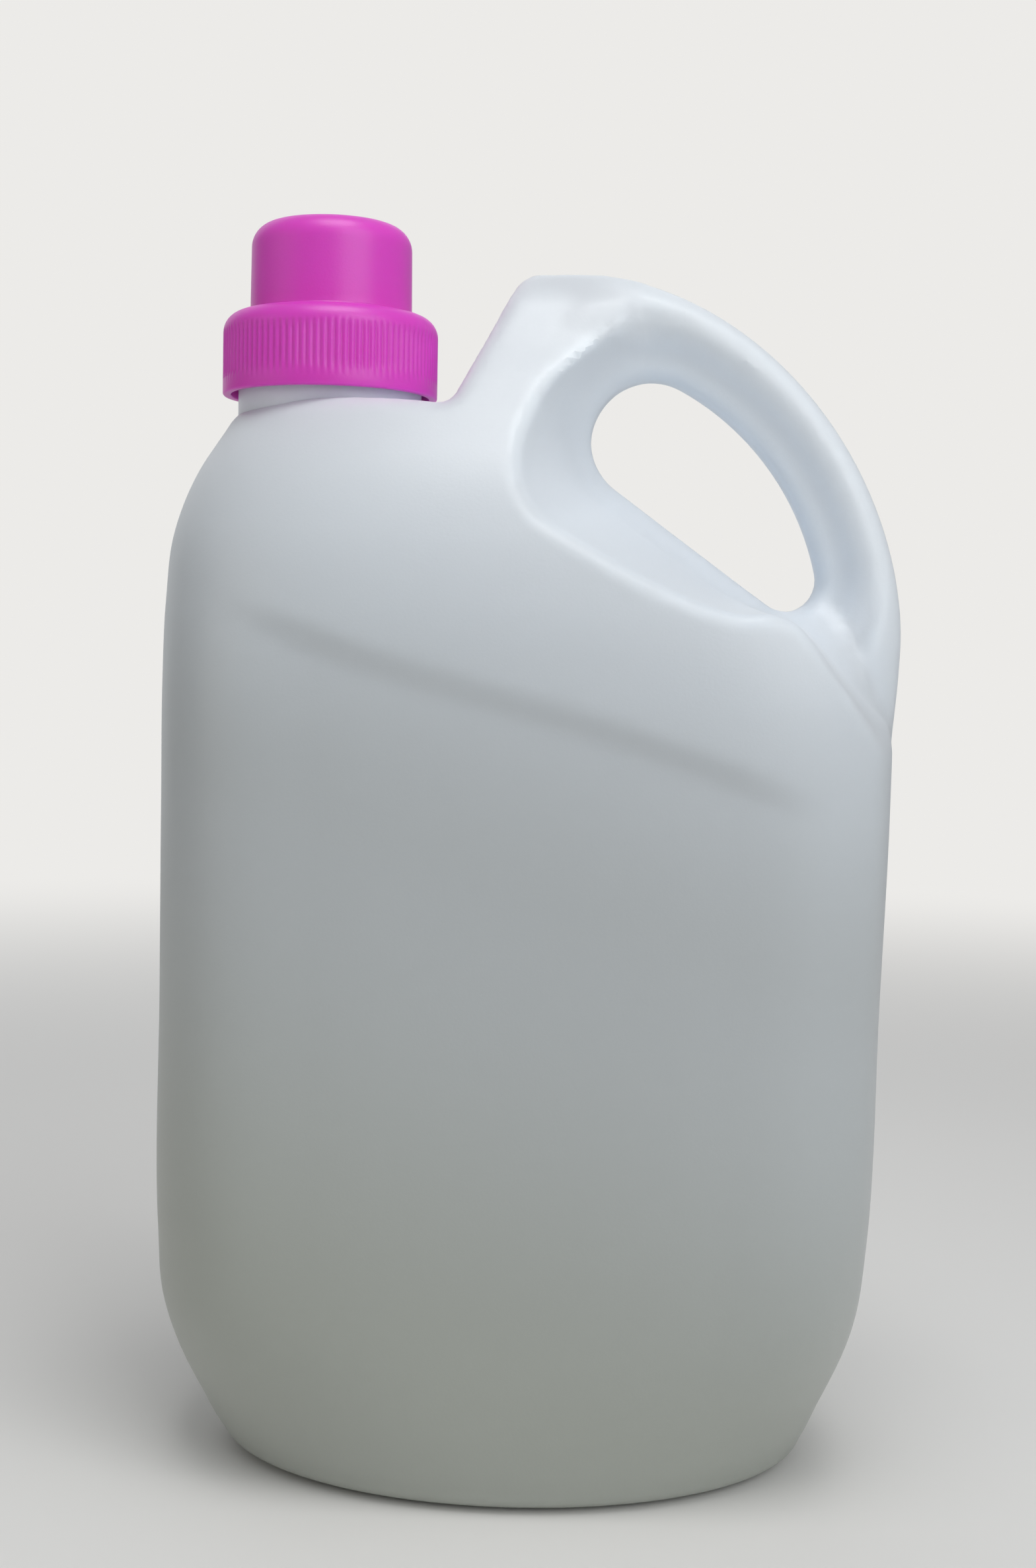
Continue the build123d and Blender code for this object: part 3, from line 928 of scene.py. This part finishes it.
@dataclass(frozen=True)
class Plastic:
    """A moulded plastic finish.

    The colour runs through three tones up the object between two heights, both in metres:
    painted light and shade, lighter towards the top and darker towards the foot. The lean is
    how much further up a point counts for each metre that it lies to the right, which paints
    the right side lighter.
    """

    name: str
    painted_lit_colour: tuple[float, float, float]
    middle_colour: tuple[float, float, float]
    painted_shade_colour: tuple[float, float, float]
    low_height: float
    high_height: float
    roughness: float
    grain_scale: float
    bump: float
    scatter: float
    scatter_radius: tuple[float, float, float]
    painted_light_lean: float = 0.0
    seam: float = 0.0
    mark_share: float = 0.03
    refraction: float = 1.5
    bump_depth: float = 0.0004

    def make(self, surface: bpy.types.NodeTree) -> bpy.types.Material:
        """Makes the material.

        Args:
            surface: The shared group for grain and handling marks.

        Returns:
            The new material.
        """
        material = bpy.data.materials.new(self.name)
        material.use_nodes = True
        tree = material.node_tree
        place = add_node(tree, "TexCoord", {}).outputs["Object"]
        moulded = add_node(
            tree, "Group",
            {"Place": place, "Grain Scale": self.grain_scale, "Seam Share": self.seam},
            node_tree=surface,
        )
        split = add_node(tree, "SeparateXYZ", {"Vector": place}).outputs
        slant = add_node(
            tree, "Math", {0: split["X"], 1: self.painted_light_lean, 2: split["Z"]}, operation="MULTIPLY_ADD"
        )
        rise = add_node(
            tree, "MapRange",
            {
                "Value": slant.outputs["Value"],
                "From Min": self.low_height, "From Max": self.high_height,
            },
        )
        # Painted light and shade: the ramp runs from the shaded low tone to the lit high tone up
        # the object, and reaches higher to the right by the lean.
        painted_light_ramp = add_node(tree, "ValToRGB", {"Fac": rise.outputs["Result"]})
        painted_light_ramp.color_ramp.interpolation = "EASE"
        painted_light_ramp.color_ramp.elements.new(0.5)
        colours = (self.painted_shade_colour, self.middle_colour, self.painted_lit_colour)
        for stop, colour in zip(painted_light_ramp.color_ramp.elements, colours):
            stop.color = (*colour, 1.0)
        gloss = add_node(
            tree, "MapRange",
            {
                "Value": moulded.outputs["Marks"],
                "To Min": self.roughness - self.mark_share,
                "To Max": self.roughness + self.mark_share,
            },
        )
        bump = add_node(
            tree, "Bump",
            {
                "Strength": self.bump, "Distance": self.bump_depth,
                "Height": moulded.outputs["Height"],
            },
        )
        shader = tree.nodes["Principled BSDF"].inputs
        shader["IOR"].default_value = self.refraction
        shader["Subsurface Weight"].default_value = self.scatter
        shader["Subsurface Radius"].default_value = self.scatter_radius
        shader["Subsurface Scale"].default_value = 1.0
        tree.links.new(painted_light_ramp.outputs["Color"], shader["Base Color"])
        tree.links.new(gloss.outputs["Result"], shader["Roughness"])
        tree.links.new(bump.outputs["Normal"], shader["Normal"])
        return material


# Painted light and shade: pale blue above as if lit from overhead, grey in the middle, darker and
# warmer below in painted shade with a painted reflection of a warm floor; the lean paints the
# handle side lighter.
BOTTLE_FINISH = Plastic(
    name="natural polyethylene",
    painted_lit_colour=(0.80, 0.87, 0.96),
    middle_colour=(0.48, 0.51, 0.525),
    painted_shade_colour=(0.38, 0.40, 0.365),
    low_height=0.02,
    high_height=0.27,
    roughness=0.38,
    grain_scale=1400.0,
    bump=0.06,
    scatter=0.6,
    scatter_radius=(0.004, 0.004, 0.004),
    painted_light_lean=0.34,
    seam=6.0,
)
# Its pink grows slightly lighter towards the top: painted light from above.
CAP_FINISH = Plastic(
    name="pink polypropylene",
    painted_lit_colour=(0.72, 0.060, 0.55),
    middle_colour=(0.71, 0.056, 0.54),
    painted_shade_colour=(0.68, 0.050, 0.50),
    low_height=0.26,
    high_height=0.31,
    roughness=0.36,
    grain_scale=1600.0,
    bump=0.08,
    scatter=0.5,
    scatter_radius=(0.004, 0.0012, 0.003),
)
# Its white grows lighter towards the top: painted light from above.
SPOUT_FINISH = Plastic(
    name="white polyethylene",
    painted_lit_colour=(0.84, 0.85, 0.86),
    middle_colour=(0.80, 0.81, 0.82),
    painted_shade_colour=(0.76, 0.77, 0.78),
    low_height=0.26,
    high_height=0.29,
    roughness=0.40,
    grain_scale=1500.0,
    bump=0.08,
    scatter=0.0,
    scatter_radius=(0.003, 0.003, 0.003),
)
# Its white grows slightly lighter towards the top: painted light from above.
SEAL_FINISH = Plastic(
    name="white foam",
    painted_lit_colour=(0.86, 0.86, 0.83),
    middle_colour=(0.84, 0.84, 0.81),
    painted_shade_colour=(0.82, 0.82, 0.79),
    low_height=0.28,
    high_height=0.29,
    roughness=0.75,
    grain_scale=2600.0,
    bump=0.35,
    scatter=0.2,
    scatter_radius=(0.001, 0.001, 0.001),
)


@dataclass
class Bottle:
    """The blown bottle: a fine outer skin, the hollow one wall inside it, and the neck."""

    form: JugForm = field(default_factory=JugForm)
    wall: float = 1.2
    outer_pitch: float = 1.7
    inner_pitch: float = 3.4
    neck_radius: float = 23.1
    neck_wall: float = 2.1
    neck_lip: float = 0.6
    neck_sink: float = 4.0
    neck_turns: int = 160
    longest_side: float = 3.0
    bore_depth: float = 34.0
    overrun: float = 5.0

    def hollow(self, x: FloatArray, y: FloatArray, z: FloatArray) -> FloatArray:
        """Distance to the space inside the wall."""
        return self.form.distance(x, y, z) + self.wall

    def skin(self, name: str, form: Form, pitch: float) -> bpy.types.Object:
        """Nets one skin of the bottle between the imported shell's corners.

        Args:
            name: Name of the skin.
            form: Distance that is zero on the skin.
            pitch: Width of the net's cubes.

        Returns:
            The skin's object.
        """
        low, high = node_corners(*SHELL_NODES)
        margin = 2.0 * pitch
        return make_piece(name, *surface_net(form, low - margin, high + margin, pitch))

    def turned(
        self, name: str, radius: float, top: float, bottom: float, lip: float
    ) -> bpy.types.Object:
        """Makes a round solid about the neck's axis.

        Args:
            name: Name of the solid.
            radius: Its radius.
            top: Height of its upper end.
            bottom: Height of its lower end.
            lip: Rounding radius of its upper edge.

        Returns:
            The solid's object.
        """
        corners = [(0.0, top, 0.0), (radius, top, lip), (radius, bottom, 0.0), (0.0, bottom, 0.0)]
        points, faces = ring_grid(rounded_line(corners, self.longest_side), self.neck_turns)
        return make_piece(name, points + np.array([NECK_X, 0.0, 0.0]), faces)

    def build(self) -> bpy.types.Object:
        """Builds the bottle as one closed shell that is open at the neck.

        Returns:
            The bottle's object.
        """
        top = node_corners("neck")[1][2]
        foot = self.form.shoulder_height - self.neck_sink
        inside = self.neck_radius - self.neck_wall
        bottle = self.skin("bottle_shell", self.form.distance, self.outer_pitch)
        neck = self.turned("neck", self.neck_radius, top, foot, self.neck_lip)
        combine(bottle, neck, Cut.JOIN)
        combine(bottle, self.skin("hollow", self.hollow, self.inner_pitch), Cut.REMOVE)
        bore = self.turned("bore", inside, top + self.overrun, top - self.bore_depth, 0.0)
        combine(bottle, bore, Cut.REMOVE)
        bottle.data.shade_smooth()
        bottle.data.set_sharp_from_angle(angle=SHARP_ANGLE)
        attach(bottle, Body.JUG.value)
        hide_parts(*SHELL_NODES)
        return bottle


@dataclass
class DosingCap:
    """The ribbed screw cap with a closed cup on top, moulded in one piece."""

    skirt_radius: float = 27.05
    bore_radius: float = 25.0
    skirt_drop: float = 18.5
    ledge: float = 2.0
    shoulder_radius: float = 5.0
    cup_root_radius: float = 20.35
    cup_tip_radius: float = 20.1
    cup_height: float = 22.9
    cup_wall: float = 1.5
    cup_corner: float = 6.0
    cup_root_fillet: float = 0.8
    cup_crown: float = 0.6
    rim_radius: float = 18.95
    rim_depth: float = 13.0
    skirt_lip: float = 0.5
    bore_lip: float = 0.3
    bore_corner: float = 0.6
    rim_corner: float = 0.4
    longest_side: float = 1.6
    rib_count: int = 98
    rib_points: int = 6
    rib_power: float = 0.6
    rib_clearance: float = 0.8
    rib_depth: float = 0.45
    rib_margin: float = 4.4
    rib_height: float = 11.4
    rib_fade: float = 0.7

    def profile(self, top: float) -> FloatArray:
        """Profile from the top's middle round the outside to the inside's middle.

        Args:
            top: Height of the cap's top.

        Returns:
            Rows of radius and height.
        """
        ledge_top = top - self.cup_height
        ledge_bottom = ledge_top - self.ledge
        bottom = ledge_bottom - self.skirt_drop
        inner = self.rim_radius - self.cup_wall
        corners = [
            (0.0, top, 0.0),
            (self.cup_tip_radius, top - self.cup_crown, self.cup_corner),
            (self.cup_root_radius, ledge_top, self.cup_root_fillet),
            (self.skirt_radius, ledge_top, self.shoulder_radius),
            (self.skirt_radius, bottom, self.skirt_lip),
            (self.bore_radius, bottom, self.bore_lip),
            (self.bore_radius, ledge_bottom, self.bore_corner),
            (self.rim_radius, ledge_bottom, self.rim_corner),
            (self.rim_radius, ledge_bottom - self.rim_depth, self.rim_corner),
            (inner, ledge_bottom - self.rim_depth, self.rim_corner),
            (inner, ledge_bottom, self.cup_root_fillet),
            (
                self.cup_tip_radius - self.cup_wall,
                top - self.cup_crown - self.cup_wall,
                self.cup_corner - self.cup_wall,
            ),
            (0.0, top - self.cup_wall, 0.0),
        ]
        return rounded_line(corners, self.longest_side)

    def build(self) -> bpy.types.Object:
        """Builds the cap.

        The ribs are grooves in the skirt: the radius shrinks by the groove's depth times a
        wave round the skirt, raised to a power so that the lands are wide, and times a
        window that opens over the ribbed band.

        Returns:
            The cap's object.
        """
        low, high = node_corners(*CAP_NODES)
        points, faces = ring_grid(self.profile(high[2]), self.rib_count * self.rib_points)
        radius = np.hypot(points[:, 0], points[:, 1])
        angle = np.arctan2(points[:, 1], points[:, 0])
        wave = 0.5 - 0.5 * np.cos(self.rib_count * angle)
        rise = points[:, 2] - low[2] - self.rib_margin
        window = smooth_step(rise / self.rib_fade)
        window *= smooth_step((self.rib_height - rise) / self.rib_fade)
        outside = radius > self.bore_radius + self.rib_clearance
        groove = self.rib_depth * (1.0 - wave**self.rib_power) * window * outside
        points[:, :2] *= (1.0 - groove / np.maximum(radius, 1.0))[:, None]
        points[:, 0] += NECK_X
        cap = make_piece("cap_shell", points, faces)
        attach(cap, Body.CAP.value)
        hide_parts(*CAP_NODES)
        return cap


@dataclass
class Thread:
    """A helical ridge round the neck's axis that fades into its wall at both ends."""

    name: str
    body: Body
    slot: str
    base_radius: float
    crest_radius: float
    start: float
    pitch: float = 4.0
    turns: float = 1.6
    base_width: float = 2.2
    crest_width: float = 0.9
    fade: float = 0.1
    least_rise: float = 0.05
    steps: int = 280

    def build(self) -> bpy.types.Object:
        """Builds the ridge.

        Each step of the helix has four corners: two at the base's radius and two at the
        crest's, which runs out from the base and back to it in smooth steps at the ends. A
        ridge that points inwards has its corners in the other order.

        Returns:
            The thread's object.
        """
        run = np.linspace(0.0, 1.0, self.steps + 1)
        angle = 2.0 * np.pi * self.turns * run
        rise = smooth_step(run / self.fade) * smooth_step((1.0 - run) / self.fade)
        reach = self.crest_radius - self.base_radius
        crest = self.base_radius + reach * np.maximum(rise, self.least_rise)
        base = np.full_like(crest, self.base_radius)
        radius = np.stack((base, crest, crest, base), axis=1)
        side = np.sign(reach) / 2.0
        widths = np.array([-self.base_width, -self.crest_width, self.crest_width, self.base_width])
        height = (self.start + self.pitch * self.turns * run)[:, None] + side * widths
        points = np.stack(
            (
                NECK_X + radius * np.cos(angle)[:, None],
                radius * np.sin(angle)[:, None],
                height,
            ),
            axis=-1,
        ).reshape(-1, 3)
        walls = grid_faces(len(run), radius.shape[1], wraps=True)
        last = len(points) - 1
        ends = np.array([[0, 1, 2, 3], [last, last - 1, last - 2, last - 3]])
        thread = make_piece(self.name, points, np.concatenate((walls, ends)))
        thread.data.set_sharp_from_angle(angle=SHARP_ANGLE)
        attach(thread, self.body.value)
        return thread


@dataclass(frozen=True)
class Lamp:
    """A soft square lamp, in metres and watts."""

    name: str
    place: tuple[float, float, float]
    size: float
    watts: float
    colour: tuple[float, float, float]

    def build(self, aim: tuple[float, float, float]) -> bpy.types.Object:
        """Makes the lamp.

        Args:
            aim: The place that it is turned towards.

        Returns:
            The lamp's object.
        """
        data = bpy.data.lights.new(self.name, "AREA")
        data.shape = "SQUARE"
        data.size = self.size
        data.energy = self.watts
        data.color = self.colour
        lamp = bpy.data.objects.new(self.name, data)
        lamp.location = self.place
        ahead = Vector(aim) - Vector(self.place)
        lamp.rotation_euler = ahead.to_track_quat("-Z", "Y").to_euler()
        bpy.context.scene.collection.objects.link(lamp)
        return lamp


LAMPS = (
    Lamp("lamp above", (0.10, -0.35, 1.4), 0.7, 7.0, (1.0, 1.0, 1.0)),
    Lamp("lamp right", (0.95, -1.15, 0.95), 1.3, 11.5, (0.97, 0.99, 1.0)),
    Lamp("lamp left", (-1.3, -0.6, 0.5), 1.0, 1.5, (1.0, 0.92, 0.78)),
    Lamp("lamp behind", (-0.5, 1.5, 0.9), 2.0, 6.0, (0.95, 0.98, 1.0)),
)


@dataclass
class Studio:
    """Floor, lamps and the camera at the photograph's viewing angle."""

    camera_place: tuple[float, float, float] = (0.01615, -0.51968, 0.2010)
    azimuth: float = 2.0
    pitch: float = -3.4
    roll: float = 1.1
    image_height: float = 2373.0
    focal_pixels: float = 3083.6
    sensor: float = 36.0
    lamp_aim: tuple[float, float, float] = (0.0, 0.0, 0.18)
    world_colour: tuple[float, float, float] = (0.95, 0.97, 1.0)
    world_strength: float = 0.30
    floor_half_width: float = 6000.0
    floor_depth: float = 3000.0
    floor_colour: tuple[float, float, float] = (0.78, 0.77, 0.75)
    floor_roughness: float = 0.8
    shown_colour: tuple[float, float, float] = (0.84, 0.83, 0.81)
    fade: tuple[float, float] = (0.45, 1.4)

    def camera(self) -> bpy.types.Object:
        """Makes the camera, with its roll about the line of sight.

        Returns:
            The camera's object.
        """
        turn, tilt, roll = np.radians((self.azimuth, self.pitch, self.roll))
        ahead = np.array(
            (-np.sin(turn) * np.cos(tilt), np.cos(turn) * np.cos(tilt), np.sin(tilt))
        )
        right = np.array((np.cos(turn), np.sin(turn), 0.0))
        up = np.cross(right, ahead)
        side = right * np.cos(roll) + up * np.sin(roll)
        upright = -right * np.sin(roll) + up * np.cos(roll)
        data = bpy.data.cameras.new("camera")
        data.sensor_width = self.sensor
        data.lens = self.focal_pixels * self.sensor / self.image_height
        camera = bpy.data.objects.new("camera", data)
        matrix = np.eye(4)
        matrix[:3] = np.stack((side, upright, -ahead, self.camera_place), axis=1)
        camera.matrix_world = Matrix(matrix)
        bpy.context.scene.collection.objects.link(camera)
        bpy.context.scene.camera = camera
        return camera

    def floor(self) -> bpy.types.Object:
        """Makes a flat floor, whose far parts show an even pale backdrop to the camera.

        Returns:
            The floor's object.
        """
        half, deep = self.floor_half_width, self.floor_depth
        across = np.linspace(-half, half, 33)
        run = np.array([-half, -deep, 0.0, deep / 2.0, deep])
        points = np.stack(np.meshgrid(across, run, indexing="ij"), axis=-1).reshape(-1, 2)
        grid = np.concatenate((points, np.zeros((len(points), 1))), axis=1)
        floor = make_piece("floor", grid, grid_faces(len(across), len(run), wraps=False))
        material = bpy.data.materials.new("pale floor")
        material.use_nodes = True
        tree = material.node_tree
        shader = tree.nodes["Principled BSDF"]
        shader.inputs["Base Color"].default_value = (*self.floor_colour, 1.0)
        shader.inputs["Roughness"].default_value = self.floor_roughness
        place = add_node(tree, "TexCoord", {}).outputs["Object"]
        away = add_node(tree, "VectorMath", {0: place}, operation="LENGTH").outputs["Value"]
        start, full = self.fade
        far = add_node(
            tree, "MapRange", {"Value": away, "From Min": start, "From Max": full},
            interpolation_type="SMOOTHSTEP",
        ).outputs["Result"]
        ray = add_node(tree, "LightPath", {}).outputs["Is Camera Ray"]
        seen = add_node(tree, "Math", {0: far, 1: ray}, operation="MULTIPLY").outputs["Value"]
        shown = add_node(tree, "Emission", {"Color": (*self.shown_colour, 1.0)})
        blend = add_node(
            tree, "MixShader",
            {"Fac": seen, 1: shader.outputs["BSDF"], 2: shown.outputs["Emission"]},
        )
        tree.links.new(blend.outputs["Shader"], tree.nodes["Material Output"].inputs["Surface"])
        floor.data.materials.append(material)
        return floor

    def world(self) -> None:
        """Makes an even pale surrounding."""
        world = bpy.data.worlds.new("studio")
        bpy.context.scene.world = world
        world.use_nodes = True
        tree = world.node_tree
        back = tree.nodes["Background"]
        back.inputs["Color"].default_value = (*self.world_colour, 1.0)
        back.inputs["Strength"].default_value = self.world_strength
        shown = add_node(tree, "Background", {"Color": (*self.shown_colour, 1.0)})
        ray = add_node(tree, "LightPath", {}).outputs["Is Camera Ray"]
        blend = add_node(
            tree, "MixShader",
            {"Fac": ray, 1: back.outputs["Background"], 2: shown.outputs["Background"]},
        )
        tree.links.new(blend.outputs["Shader"], tree.nodes["World Output"].inputs["Surface"])

    def build(self) -> None:
        """Builds the whole studio."""
        bpy.context.scene.view_settings.view_transform = "Standard"
        self.world()
        self.floor()
        self.camera()
        for lamp in LAMPS:
            lamp.build(self.lamp_aim)


def dress(piece: bpy.types.Object, material: bpy.types.Material) -> None:
    """Gives a piece one material."""
    piece.data.materials.clear()
    piece.data.materials.append(material)


def main() -> None:
    """Builds every piece in order and reports each one."""
    logging.basicConfig(level=logging.INFO, format="%(message)s")
    surface = MouldedSurface().make()
    Studio().build()
    made = (
        (Bottle().build(), BOTTLE_FINISH),
        (DosingCap().build(), CAP_FINISH),
        (Thread("neck_thread", Body.JUG, "bottle", 22.8, 24.3, 271.0).build(), BOTTLE_FINISH),
        (Thread("cap_thread", Body.CAP, "dosing_cap", 25.3, 24.45, 269.0).build(), CAP_FINISH),
        *((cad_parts[node], SPOUT_FINISH) for node in SPOUT_NODES),
        (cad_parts["seal_ring"], SEAL_FINISH),
    )
    for piece, finish in made:
        dress(piece, finish.make(surface))
        log.info("%s: %d faces, %s", piece.name, len(piece.data.polygons), finish.name)


if __name__ == "__main__":
    main()
